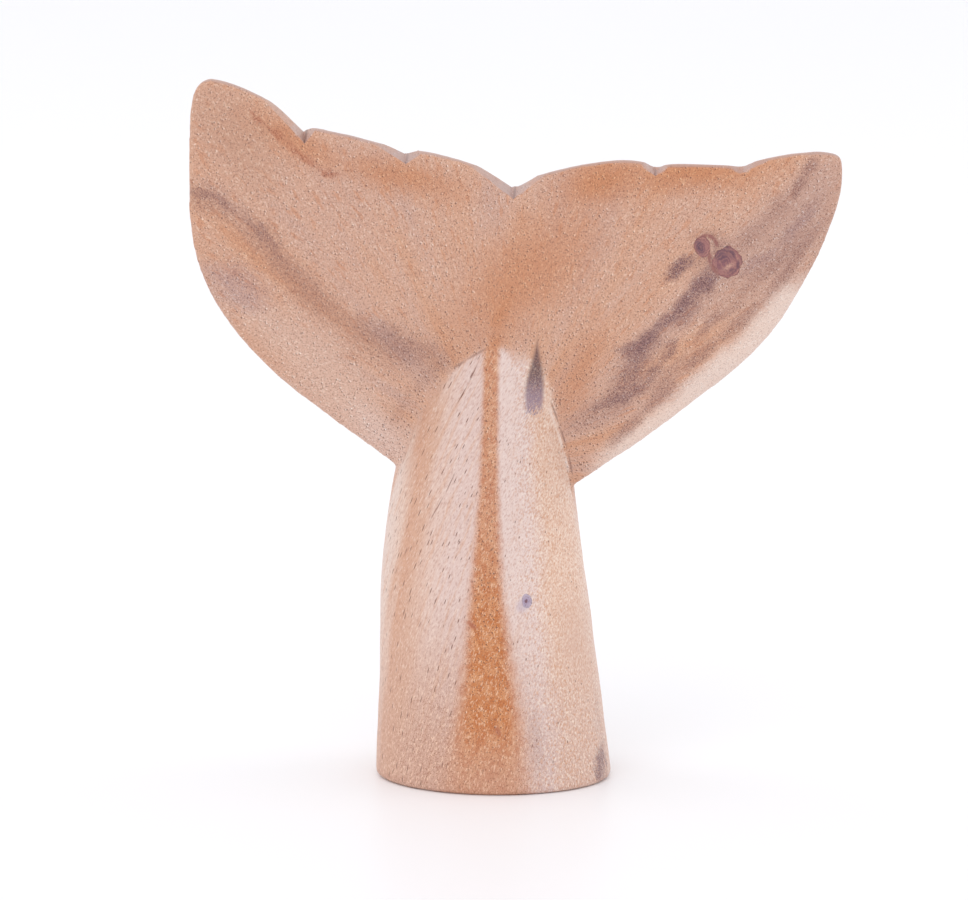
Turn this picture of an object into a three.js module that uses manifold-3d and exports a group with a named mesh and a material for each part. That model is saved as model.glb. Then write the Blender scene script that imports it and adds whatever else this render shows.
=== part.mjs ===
// A dolphin's tail carved by hand from one block of open-pored hardwood.
//
// The block stands on the flat foot of a round stem. The stem leans back as it rises and tapers, and at
// the knee the flukes bend forward out of it as one broad plate with rounded edges. Five V cuts part the
// upper edge of the flukes into scallops. Three knots, stubs of branches that the tree grew round, sit in
// tapered pockets of the block.
//
// Millimetres. +Z is up, the carved face looks along -Y, and the origin is the middle of the foot.

import * as THREE from "three";
import { mergeVertices } from "three/addons/utils/BufferGeometryUtils.js";
import Module from "manifold-3d";

// Flukes. The plate turns forward at the knee, and its sizes lie in its own front plane from there on.
const KNEE_HEIGHT = 120;
const FLUKE_LEAN = 13;
const FLUKE_THICKNESS = 13;
const LEADING_EDGE_THICKNESS = 8;
const TRAILING_EDGE_THICKNESS = 5;
const THICKENING_LENGTH = 13;
const FACE_ROUNDING = 0.3;
const FLUKE_HOLLOW = 4;
const HEEL_OFFSET = -2.6;
const HEEL_DROP = 57;
const NOTCH_TILT = 8;
const SCALLOP_PEAK = 0.5;
const INNER_SCALLOP_PEAK = 0.3;
const MIDDLE_NOTCH = { offset: 6.5, rise: 51, depth: 4, width: 10.5 };

// Left fluke, the higher and shorter one. Its leading edge leaves the heel at the sweep angle, stands
// upright at the belly and turns over at the tip, and three scallops lead from there to the middle notch.
// Insets are measured in from the span, offsets out from the middle of the foot.
const LEFT_FLUKE = {
  side: -1,
  span: 84.1,
  bellyRise: 43.8,
  bellyLength: 45.2,
  sweepAngle: 43.8,
  sweepLength: 63,
  tipInset: 7.6,
  tipRise: 81.5,
  tipWidth: 7,
  tipHeight: 10,
  shoulderInset: 1.2,
  outerNotch: { inset: 32.7, rise: 67.3, depth: 4, width: 5.6 },
  innerNotch: { offset: 23.4, rise: 59.9, depth: 2.9, width: 7.5 },
  outerBulge: 4.6,
  middleBulge: 1,
  innerBulge: 4.2,
};

// Right fluke, the lower and longer one.
const RIGHT_FLUKE = {
  side: 1,
  span: 96.6,
  bellyRise: 60.4,
  bellyLength: 52.4,
  sweepAngle: 35.6,
  sweepLength: 49.2,
  tipInset: 6.8,
  tipRise: 62.5,
  tipWidth: 5,
  tipHeight: 1,
  shoulderInset: 0,
  outerNotch: { inset: 27.4, rise: 57.4, depth: 2, width: 5.5 },
  innerNotch: { offset: 45.8, rise: 57, depth: 3, width: 7 },
  outerBulge: 1.4,
  middleBulge: 0.6,
  innerBulge: 6,
};

// Stem. Each level has its width, and how far its front, its widest line and its back lie along Y. Sway is
// how far the middle of a level lies to the right of the middle of the foot. Above the waist the widest
// line lies in the middle of the plate, and the stem runs out over the plate's back as a low keel, which
// is wider there by its spread.
const FOOT_EDGE_RADIUS = 1.5;
const NAPE_DROP = 8;
const KEEL_RISE = 12;
const CROWN_RISE = 40;
const CROWN_DEPTH = 5;
const FOOT = { height: 0, width: 67.4, front: -27, widest: 0, back: 27, sway: 0, spread: 0 };
const CALF = { height: 45, width: 59.4, front: -18.5, widest: 6.5, back: 25, sway: -2.6, spread: 0 };
const WAIST = { height: 87, width: 49.6, front: -8, widest: 14, back: 24.5, sway: -3.7, spread: 0 };
const NAPE = { height: KNEE_HEIGHT - NAPE_DROP, width: 40, front: -2.6, back: 18.4, sway: -0.4, spread: 8 };
const KEEL = { height: KNEE_HEIGHT + KEEL_RISE, width: 25, front: -0.5, back: 11.6, sway: 6, spread: 12 };
const CROWN = { height: KNEE_HEIGHT + CROWN_RISE, width: 10, sway: MIDDLE_NOTCH.offset, spread: 0 };

// Knots. The two in the right fluke lie in the plane of its face, the pin knot on the stem's front.
const LARGE_KNOT = { inset: 31, rise: 30.6, width: 9, height: 9.6, depth: 6 };
const SMALL_KNOT = { width: 4.6, height: 6.4, depth: 5 };
const SMALL_KNOT_BEARING = 148;
const KNOT_WEB = 1;
const PIN_KNOT = { offset: 10.4, rise: 53.4, width: 3.6, height: 5, depth: 6 };
const KNOT_TAPER = 0.55;
const KNOT_CLEARANCE = 0.3;

// How finely the curved skins are cut into facets.
const STEM_SIDES = 36;
const STEM_LEVELS = 26;
const FOOT_EDGE_STEPS = 3;
const FLUKE_STATIONS = 76;
const FLUKE_CHORD_STEPS = 18;
const EDGE_SAMPLES = 90;
const KNOT_SIDES = 24;

const WOOD = new THREE.MeshStandardMaterial({ color: 0xd0a084, roughness: 0.6, metalness: 0 });
const KNOT_WOOD = new THREE.MeshStandardMaterial({ color: 0x8f666a, roughness: 0.6, metalness: 0 });

const wasm = await Module();
wasm.setup();

// Skins rings of points that follow one another. A ring drawn together to a point or a line closes an end.
function skin(rings) {
  const count = rings[0].length;
  const indices = [];
  for (let ring = 0; ring + 1 < rings.length; ring++) {
    for (let side = 0; side < count; side++) {
      const here = ring * count + side;
      const next = ring * count + ((side + 1) % count);
      indices.push(here, next + count, next);
      indices.push(here, here + count, next + count);
    }
  }
  const geometry = new THREE.BufferGeometry().setFromPoints(rings.flat());
  geometry.setIndex(indices);
  return geometry;
}

// Turns a closed geometry into a solid that can be joined and cut.
function solidOf(geometry) {
  const bare = geometry.clone();
  bare.deleteAttribute("normal");
  bare.deleteAttribute("uv");
  const merged = mergeVertices(bare);
  const corners = merged.index.array;
  const triangles = [];
  for (let at = 0; at < corners.length; at += 3) {
    const [a, b, c] = corners.slice(at, at + 3);
    if (a !== b && b !== c && c !== a) {
      triangles.push(a, b, c);
    }
  }
  const mesh = new wasm.Mesh({
    numProp: 3,
    vertProperties: new Float32Array(merged.attributes.position.array),
    triVerts: new Uint32Array(triangles),
  });
  return new wasm.Manifold(mesh);
}

function meshOf(solid, name, material) {
  const { vertProperties, triVerts } = solid.getMesh();
  const geometry = new THREE.BufferGeometry();
  geometry.setAttribute("position", new THREE.BufferAttribute(vertProperties, 3));
  geometry.setIndex(new THREE.BufferAttribute(triVerts, 1));
  geometry.computeVertexNormals();
  const mesh = new THREE.Mesh(geometry, material);
  mesh.name = name;
  return mesh;
}

// The fluke plate's own frame: X across, Y back from the front plane, Z up along it from the knee.
const flukeFrame = new THREE.Object3D();
flukeFrame.position.z = KNEE_HEIGHT;
flukeFrame.rotation.x = THREE.MathUtils.degToRad(FLUKE_LEAN);
flukeFrame.updateMatrix();

// The stem's levels, joined by smooth curves over the height.
const plateMiddle = FLUKE_THICKNESS / 2 / Math.cos(flukeFrame.rotation.x);
for (const level of [NAPE, KEEL, CROWN]) {
  level.widest = plateMiddle - (level.height - KNEE_HEIGHT) * Math.tan(flukeFrame.rotation.x);
}
CROWN.front = CROWN.widest - CROWN_DEPTH / 2;
CROWN.back = CROWN.widest + CROWN_DEPTH / 2;
const STEM = [FOOT, CALF, WAIST, NAPE, KEEL, CROWN];

function slopeAt(index, field) {
  const before = STEM[Math.max(index - 1, 0)];
  const after = STEM[Math.min(index + 1, STEM.length - 1)];
  return (after[field] - before[field]) / (after.height - before.height);
}

function stemAt(height, field) {
  let index = 0;
  while (index + 2 < STEM.length && height > STEM[index + 1].height) {
    index++;
  }
  const low = STEM[index];
  const high = STEM[index + 1];
  const rise = high.height - low.height;
  const t = (height - low.height) / rise;
  const ease = t * t * (3 - 2 * t);
  const leave = t * (1 - t) * (1 - t) * rise * slopeAt(index, field);
  const arrive = t * t * (t - 1) * rise * slopeAt(index + 1, field);
  return low[field] + (high[field] - low[field]) * ease + leave + arrive;
}

// A point of the stem's skin at a height, at an angle round it from the right side over the front.
function stemPoint(height, angle, inset) {
  const inFront = Math.sin(angle) >= 0;
  const widest = stemAt(height, "widest");
  const reach = inFront ? widest - stemAt(height, "front") : stemAt(height, "back") - widest;
  const halfWidth = (stemAt(height, "width") + (inFront ? 0 : stemAt(height, "spread"))) / 2;
  return new THREE.Vector3(
    stemAt(height, "sway") + (halfWidth - inset) * Math.cos(angle),
    widest - (reach - inset) * Math.sin(angle),
    height,
  );
}

function stemRing(height, inset) {
  const ring = [];
  for (let side = 0; side < STEM_SIDES; side++) {
    ring.push(stemPoint(height, (2 * Math.PI * side) / STEM_SIDES, inset));
  }
  return ring;
}

function stemEnd(height) {
  const middle = new THREE.Vector3(stemAt(height, "sway"), stemAt(height, "widest"), height);
  return Array(STEM_SIDES).fill(middle);
}

function stemSolid() {
  const rings = [stemEnd(0)];
  for (let step = 0; step < FOOT_EDGE_STEPS; step++) {
    const turn = (Math.PI / 2) * (step / FOOT_EDGE_STEPS);
    const height = FOOT_EDGE_RADIUS * (1 - Math.cos(turn));
    rings.push(stemRing(height, FOOT_EDGE_RADIUS * (1 - Math.sin(turn))));
  }
  for (let level = 0; level <= STEM_LEVELS; level++) {
    rings.push(stemRing(THREE.MathUtils.lerp(FOOT_EDGE_RADIUS, CROWN.height, level / STEM_LEVELS), 0));
  }
  rings.push(stemEnd(CROWN.height));
  return solidOf(skin(rings));
}

for (const { span, outerNotch } of [LEFT_FLUKE, RIGHT_FLUKE]) {
  outerNotch.offset = span - outerNotch.inset;
}
LARGE_KNOT.offset = RIGHT_FLUKE.span - LARGE_KNOT.inset;

const heel = new THREE.Vector2(HEEL_OFFSET, -HEEL_DROP);
const parting = new THREE.Vector2(MIDDLE_NOTCH.offset, MIDDLE_NOTCH.rise);

function leadingEdge(fluke) {
  const { side, span, bellyRise, bellyLength, sweepLength } = fluke;
  const sweep = THREE.MathUtils.degToRad(fluke.sweepAngle);
  const outward = new THREE.Vector2(side * Math.cos(sweep), Math.sin(sweep));
  return new THREE.CubicBezierCurve(
    new THREE.Vector2(side * span, bellyRise),
    new THREE.Vector2(side * span, bellyRise - bellyLength),
    outward.multiplyScalar(sweepLength).add(heel),
    heel,
  );
}

// A scallop from one point of the trailing edge to the next. It bulges most at the peak's share of the way.
function scallop(from, to, bulge, peak) {
  const top = from.clone().lerp(to, peak);
  top.y += bulge;
  return new THREE.QuadraticBezierCurve(from, top, to);
}

function trailingEdge(fluke) {
  const { side, span, bellyRise, tipInset, tipRise, tipWidth, tipHeight, shoulderInset } = fluke;
  const tip = new THREE.Vector2(side * (span - tipInset), tipRise);
  const outer = new THREE.Vector2(side * fluke.outerNotch.offset, fluke.outerNotch.rise);
  const inner = new THREE.Vector2(side * fluke.innerNotch.offset, fluke.innerNotch.rise);
  const edge = new THREE.CurvePath();
  edge.add(
    new THREE.CubicBezierCurve(
      new THREE.Vector2(side * span, bellyRise),
      new THREE.Vector2(side * (span - shoulderInset), tipRise - tipHeight),
      new THREE.Vector2(side * (span - tipInset + tipWidth), tipRise),
      tip,
    ),
  );
  edge.add(scallop(tip, outer, fluke.outerBulge, SCALLOP_PEAK));
  edge.add(scallop(outer, inner, fluke.middleBulge, SCALLOP_PEAK));
  edge.add(scallop(inner, parting, fluke.innerBulge, INNER_SCALLOP_PEAK));
  return edge;
}

// Both edges run from the left belly to the right one, as points in order of X.
function edgePoints(curveOf) {
  const left = curveOf(LEFT_FLUKE).getSpacedPoints(EDGE_SAMPLES);
  const right = curveOf(RIGHT_FLUKE).getSpacedPoints(EDGE_SAMPLES);
  return [...left, ...right.reverse().slice(1)];
}

const leading = edgePoints(leadingEdge);
const trailing = edgePoints(trailingEdge);

function riseAt(edge, across) {
  const after = edge.findIndex((point, index) => index > 0 && point.x >= across);
  const high = edge[after < 0 ? edge.length - 1 : after];
  const low = edge[after < 0 ? edge.length - 2 : after - 1];
  return low.y + ((high.y - low.y) * (across - low.x)) / (high.x - low.x);
}

function distanceToEdge(point) {
  let nearest = Infinity;
  for (const edge of [leading, trailing]) {
    for (let at = 0; at + 1 < edge.length; at++) {
      const along = edge[at + 1].clone().sub(edge[at]);
      const reach = point.clone().sub(edge[at]);
      const t = THREE.MathUtils.clamp(reach.dot(along) / along.lengthSq(), 0, 1);
      nearest = Math.min(nearest, reach.distanceTo(along.multiplyScalar(t)));
    }
  }
  return nearest;
}

// Front and back of the plate at one place. Both edges are rounded, and the plate thickens inwards.
function plateFaces(across, rise, chordShare) {
  const gap = distanceToEdge(new THREE.Vector2(across, rise));
  const edge = THREE.MathUtils.lerp(LEADING_EDGE_THICKNESS, TRAILING_EDGE_THICKNESS, chordShare) / 2;
  const round = 1 - Math.min(gap / edge, 1);
  const thickening = 1 - Math.exp(-gap / THICKENING_LENGTH);
  const half = edge * Math.sqrt(1 - round * round) + (FLUKE_THICKNESS / 2 - edge) * thickening;
  const span = across < heel.x ? LEFT_FLUKE.span : RIGHT_FLUKE.span;
  const hollow = FLUKE_HOLLOW * ((across - heel.x) / span) ** 2;
  const front = FACE_ROUNDING * (FLUKE_THICKNESS / 2 - half) - hollow;
  return { front, back: front + 2 * half };
}

function plateRing(across) {
  const low = riseAt(leading, across);
  const high = riseAt(trailing, across);
  const frontFace = [];
  const backFace = [];
  for (let step = 0; step <= FLUKE_CHORD_STEPS; step++) {
    const share = (1 - Math.cos((Math.PI * step) / FLUKE_CHORD_STEPS)) / 2;
    const rise = THREE.MathUtils.lerp(low, high, share);
    const { front, back } = plateFaces(across, rise, share);
    frontFace.push(new THREE.Vector3(across, front, rise));
    if (step > 0 && step < FLUKE_CHORD_STEPS) {
      backFace.unshift(new THREE.Vector3(across, back, rise));
    }
  }
  return [...frontFace, ...backFace];
}

function plateSolid() {
  const rings = [];
  for (let station = 0; station <= FLUKE_STATIONS; station++) {
    const share = (1 - Math.cos((Math.PI * station) / FLUKE_STATIONS)) / 2;
    rings.push(plateRing(THREE.MathUtils.lerp(-LEFT_FLUKE.span, RIGHT_FLUKE.span, share)));
  }
  return solidOf(skin(rings).applyMatrix4(flukeFrame.matrix));
}

// A V cut across the trailing edge, as wide as stated where it breaks the edge.
function notchCutter(side, { offset, rise, depth, width }) {
  const spread = (width / 2) * (1 + FLUKE_THICKNESS / depth);
  const vee = new THREE.Shape();
  vee.moveTo(0, 0);
  vee.lineTo(spread, depth + FLUKE_THICKNESS);
  vee.lineTo(-spread, depth + FLUKE_THICKNESS);
  vee.closePath();
  const length = 2 * (FLUKE_THICKNESS + FLUKE_HOLLOW);
  const cutter = new THREE.ExtrudeGeometry(vee, { depth: 2 * length, bevelEnabled: false });
  cutter.translate(0, 0, -length);
  cutter.rotateX(Math.PI / 2 + THREE.MathUtils.degToRad(NOTCH_TILT));
  cutter.translate(side * offset, 0, rise - depth);
  return solidOf(cutter.applyMatrix4(flukeFrame.matrix));
}

// A knot's taper, pointing back into the wood along +Y, and its pocket when it is grown by the clearance.
function knotTaper({ width, height, depth }, growth, proud) {
  const slope = ((1 - KNOT_TAPER) * (width / 2)) / depth;
  const mouth = width / 2 + slope * proud + growth;
  const bottom = KNOT_TAPER * (width / 2) - slope * growth + growth;
  const taper = new THREE.CylinderGeometry(bottom, mouth, proud + depth + growth, KNOT_SIDES);
  taper.translate(0, (depth + growth - proud) / 2, 0);
  taper.scale(1, 1, height / width);
  return taper;
}

const blank = [
  notchCutter(1, MIDDLE_NOTCH),
  notchCutter(LEFT_FLUKE.side, LEFT_FLUKE.outerNotch),
  notchCutter(LEFT_FLUKE.side, LEFT_FLUKE.innerNotch),
  notchCutter(RIGHT_FLUKE.side, RIGHT_FLUKE.outerNotch),
  notchCutter(RIGHT_FLUKE.side, RIGHT_FLUKE.innerNotch),
].reduce((wood, cutter) => wood.subtract(cutter), stemSolid().add(plateSolid()));

function flukeKnotSeat({ offset, rise }) {
  const low = riseAt(leading, offset);
  const share = (rise - low) / (riseAt(trailing, offset) - low);
  const { front } = plateFaces(offset, rise, share);
  const seat = new THREE.Matrix4().makeTranslation(offset, front, rise);
  return seat.premultiply(flukeFrame.matrix);
}

// The pin knot points at the stem's middle line, square to its skin.
function stemKnotSeat({ offset, rise }) {
  const halfWidth = stemAt(rise, "width") / 2;
  const angle = Math.acos((offset - stemAt(rise, "sway")) / halfWidth);
  const mouth = stemPoint(rise, angle, 0);
  const middle = new THREE.Vector3(stemAt(rise, "sway"), stemAt(rise, "widest"), rise);
  const inward = middle.sub(mouth).normalize();
  const turn = new THREE.Quaternion().setFromUnitVectors(new THREE.Vector3(0, 1, 0), inward);
  return new THREE.Matrix4().compose(mouth, turn, new THREE.Vector3(1, 1, 1));
}

// The small knot grew beside the large one, with a thin web of wood between the two.
const bearing = THREE.MathUtils.degToRad(SMALL_KNOT_BEARING);
const reachOf = ({ width, height }) => Math.hypot(width * Math.cos(bearing), height * Math.sin(bearing)) / 2;
const knotDistance = reachOf(LARGE_KNOT) + KNOT_WEB + reachOf(SMALL_KNOT);
SMALL_KNOT.offset = LARGE_KNOT.offset + knotDistance * Math.cos(bearing);
SMALL_KNOT.rise = LARGE_KNOT.rise + knotDistance * Math.sin(bearing);

const knots = [
  { name: "fluke_knot_large", size: LARGE_KNOT, seat: flukeKnotSeat(LARGE_KNOT) },
  { name: "fluke_knot_small", size: SMALL_KNOT, seat: flukeKnotSeat(SMALL_KNOT) },
  { name: "stem_pin_knot", size: PIN_KNOT, seat: stemKnotSeat(PIN_KNOT) },
];

const tail = new THREE.Group();
let block = blank;
for (const { name, size, seat } of knots) {
  const proud = size.depth / 2;
  const taper = solidOf(knotTaper(size, 0, proud).applyMatrix4(seat));
  const pocket = solidOf(knotTaper(size, KNOT_CLEARANCE, proud).applyMatrix4(seat));
  tail.add(meshOf(blank.intersect(taper), name, KNOT_WOOD));
  block = block.subtract(pocket);
}
tail.add(meshOf(block, "carved_tail", WOOD));

export default tail;
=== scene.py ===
"""A dolphin's tail, carved by hand from one block of open-pored hardwood, sanded and waxed.

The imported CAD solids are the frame. The block is carved again here over them, with softened edges, crisp
V cuts and the grain of the wood, and the three knots are let into it.
"""

import math
from collections import Counter

import bpy
from mathutils import Matrix, Vector


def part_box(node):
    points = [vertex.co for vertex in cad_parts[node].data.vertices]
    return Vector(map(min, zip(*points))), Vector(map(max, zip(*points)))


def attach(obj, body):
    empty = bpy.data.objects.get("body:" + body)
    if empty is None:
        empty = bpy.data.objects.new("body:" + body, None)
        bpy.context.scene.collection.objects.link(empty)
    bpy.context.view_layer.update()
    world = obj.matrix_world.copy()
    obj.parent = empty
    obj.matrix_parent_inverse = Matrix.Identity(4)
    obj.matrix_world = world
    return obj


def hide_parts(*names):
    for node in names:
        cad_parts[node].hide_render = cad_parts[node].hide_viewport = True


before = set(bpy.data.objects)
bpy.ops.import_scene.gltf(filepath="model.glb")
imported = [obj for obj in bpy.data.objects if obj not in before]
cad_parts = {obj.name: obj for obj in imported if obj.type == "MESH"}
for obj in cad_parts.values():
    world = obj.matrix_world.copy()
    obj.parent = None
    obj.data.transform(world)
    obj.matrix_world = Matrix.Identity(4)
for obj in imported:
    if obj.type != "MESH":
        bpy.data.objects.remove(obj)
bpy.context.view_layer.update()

# Block. One piece of hardwood holds the stem and both flukes. It is roughed out to the CAD solid, with the
# knots' pockets still closed, and then sanded, which rounds its edges and leaves a faint hand-worked wave.
MM = 0.001
KNOT_NODES = ("fluke_knot_large", "fluke_knot_small", "stem_pin_knot")
POCKET_MARGIN = 0.45 * MM
ROUGHING_GRAIN = 0.84 * MM
SANDING_STROKES = 7
SANDING_FORCE = 0.5
WAVE_LENGTH = 16 * MM
WAVE_HEIGHT = 0.5 * MM
FLAT_FOOT_HEIGHT = 4 * MM
WELD_REACH = 0.002 * MM


def work_on(piece):
    bpy.ops.object.select_all(action="DESELECT")
    piece.select_set(True)
    bpy.context.view_layer.objects.active = piece


def copy_of(piece, name):
    made = bpy.data.objects.new(name, piece.data.copy())
    bpy.context.scene.collection.objects.link(made)
    return made


def finish_with(piece, kind, **settings):
    """Adds a modifier to a piece, sets it up and applies it."""
    work_on(piece)
    bpy.ops.object.modifier_add(type=kind)
    modifier = piece.modifiers[-1]
    for setting, value in settings.items():
        setattr(modifier, setting, value)
    bpy.ops.object.modifier_apply(modifier=modifier.name)


knot_boxes = [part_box(node) for node in KNOT_NODES]


def in_pocket(face):
    """Whether a face of the block lies in the pocket of a knot."""
    corners = [block.data.vertices[index].co for index in face.vertices]
    for low, high in knot_boxes:
        reach = [max(low[axis] - c[axis], c[axis] - high[axis]) for c in corners for axis in range(3)]
        if max(reach) < POCKET_MARGIN:
            return True
    return False


block = copy_of(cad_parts["carved_tail"], "carved_wood")
work_on(block)
bpy.ops.object.mode_set(mode="EDIT")
bpy.ops.mesh.select_mode(type="FACE")
bpy.ops.mesh.select_all(action="SELECT")
bpy.ops.mesh.remove_doubles(threshold=WELD_REACH)
bpy.ops.mesh.select_all(action="DESELECT")
bpy.ops.object.mode_set(mode="OBJECT")
for face in block.data.polygons:
    face.select = in_pocket(face)
bpy.ops.object.mode_set(mode="EDIT")
bpy.ops.mesh.delete(type="FACE")
bpy.ops.mesh.select_all(action="SELECT")
bpy.ops.mesh.fill_holes(sides=0)
bpy.ops.object.mode_set(mode="OBJECT")

finish_with(block, "REMESH", mode="VOXEL", voxel_size=ROUGHING_GRAIN)
finish_with(block, "SMOOTH", factor=SANDING_FORCE, iterations=SANDING_STROKES)
above_foot = block.vertex_groups.new(name="above_foot")
above_foot.add([v.index for v in block.data.vertices if v.co.z > FLAT_FOOT_HEIGHT], 1, "REPLACE")
hand_wave = bpy.data.textures.new("hand_wave", "CLOUDS")
hand_wave.noise_scale = WAVE_LENGTH
hand_wave.noise_depth = 1
finish_with(block, "DISPLACE", texture=hand_wave, strength=WAVE_HEIGHT, vertex_group="above_foot")

# Places left a little fuller, each by its name, its middle, its reach and its push to the right, all in mm.
FULLER_PLACES = (
    ("right_tip", (97, 172), 16, 0.9),
    ("right_rim", (74, 123), 26, 1.7),
    ("left_heel", (-46, 110), 36, -1.1),
    ("left_of_stem", (-27, 62), 36, -1.3),
)
for name, (across, height), reach, push in FULLER_PLACES:
    near = block.vertex_groups.new(name=name)
    for vertex in block.data.vertices:
        gap = math.hypot(vertex.co.x / MM - across, vertex.co.z / MM - height) / reach
        if gap < 1:
            near.add([vertex.index], (1 - gap * gap) ** 2, "REPLACE")
    finish_with(block, "DISPLACE", direction="X", strength=push * MM, mid_level=0, vertex_group=name)

# V cuts. Five nicks are sawn across the trailing edge and filed to a sharp V with the file turned a little to
# one side and held deeper in front than behind. Each is given by its place across the flukes, its rise from
# the knee, its depth and its width, all in mm.
KNEE_HEIGHT = 120 * MM
FLUKE_LEAN = math.radians(13)
FILE_TILT = math.radians(8)
FILE_TURN = math.radians(9)
FILE_LENGTH = 40 * MM
FILE_HEIGHT = 12 * MM
FILE_BITE = 0.35 * MM
SMOOTH_UP_TO = math.radians(35)
V_CUTS = (
    (-51.2, 67.3, 4, 7),
    (-23.2, 59.9, 2.9, 9),
    (6.5, 51, 4, 10.5),
    (45.8, 57, 2.4, 6),
    (69.2, 57.4, 1.2, 4.5),
)
fluke_frame = Matrix.Translation((0, 0, KNEE_HEIGHT)) @ Matrix.Rotation(FLUKE_LEAN, 4, "X")


def cut(piece, tool, operation):
    finish_with(piece, "BOOLEAN", object=tool, operation=operation, solver="MANIFOLD")


def v_file(across, rise, depth, width):
    """A file with a sharp V, held in the cut that it makes."""
    bpy.ops.mesh.primitive_cube_add(size=2)
    tool = bpy.context.object
    bpy.ops.object.mode_set(mode="EDIT")
    bpy.ops.mesh.select_all(action="DESELECT")
    bpy.ops.object.mode_set(mode="OBJECT")
    for corner in tool.data.vertices:
        corner.select = corner.co.z < 0
    bpy.ops.object.mode_set(mode="EDIT")
    bpy.ops.mesh.select_mode(type="VERT")
    bpy.ops.transform.resize(value=(0, 1, 1))
    bpy.ops.mesh.select_all(action="SELECT")
    bpy.ops.mesh.remove_doubles()
    bpy.ops.object.mode_set(mode="OBJECT")
    flank = width / 2 / depth * FILE_HEIGHT
    to_size = Matrix.Diagonal((flank, FILE_LENGTH / 2, FILE_HEIGHT / 2, 1)) @ Matrix.Translation((0, 0, 1))
    seat = Matrix.Translation((across * MM, 0, (rise - depth) * MM - FILE_BITE))
    held = Matrix.Rotation(FILE_TURN, 4, "Z") @ Matrix.Rotation(FILE_TILT, 4, "X")
    tool.data.transform(fluke_frame @ seat @ held @ to_size)
    return tool


for nick in V_CUTS:
    tool = v_file(*nick)
    cut(block, tool, "DIFFERENCE")
    bpy.data.objects.remove(tool)
work_on(block)
bpy.ops.object.shade_smooth_by_angle(angle=SMOOTH_UP_TO)

# Wood. Open-pored hardwood from the fork of a tree, where the fibres spread from the stem into the flukes.
# Bands of heart and sap wood run down the stem, dark mineral streaks cross the flukes, and the long pores
# show as dashes on the stem and as dots on the flukes. Satin wax over a sanded surface.
BUMP_STRENGTH = 0.3
BUMP_FILTER = 0.1


def paint(red, green, blue):
    """A tone, given as on a screen from 0 to 255, as a colour for a node."""
    shades = (red / 255, green / 255, blue / 255)
    return (*(s / 12.92 if s <= 0.04045 else ((s + 0.055) / 1.055) ** 2.4 for s in shades), 1)


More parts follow.
